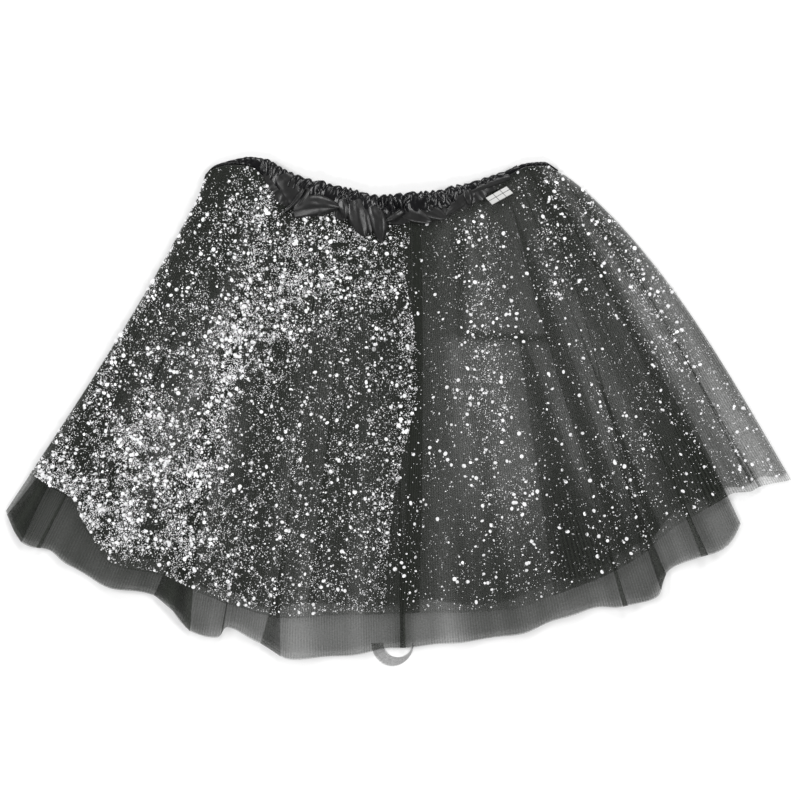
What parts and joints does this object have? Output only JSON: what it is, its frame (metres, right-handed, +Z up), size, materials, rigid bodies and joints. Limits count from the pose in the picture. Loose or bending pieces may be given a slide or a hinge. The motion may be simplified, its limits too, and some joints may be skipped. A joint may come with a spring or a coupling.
{
  "type": "tutu skirt",
  "caption": "Black tulle tutu skirt lying flat, with a gathered satin elastic waistband, a silver-flecked outer layer and a longer plain layer below it.",
  "frame": {"origin": "centre of the underside of the skirt as it lies flat", "axes": "+X across the skirt to its right as seen, +Y from the hem to the waistband, +Z up from the surface it lies on"},
  "size_m": [0.703, 0.4616, 0.0142],
  "materials": {
    "black_satin": "satin",
    "glitter_tulle": "fine net with silver flecks",
    "plain_tulle": "fine matt net",
    "label_tape": "smooth woven tape"
  },
  "bodies": {
    "root": {"waistband_front": "black_satin", "waistband_back": "black_satin", "satin_heading": "black_satin", "front_glitter_left": "glitter_tulle", "front_glitter_right": "glitter_tulle", "front_plain_layer": "plain_tulle", "back_plain_layer": "plain_tulle", "back_glitter_layer": "glitter_tulle", "woven_label": "label_tape", "hem_loop": "plain_tulle"}
  },
  "joints": []
}
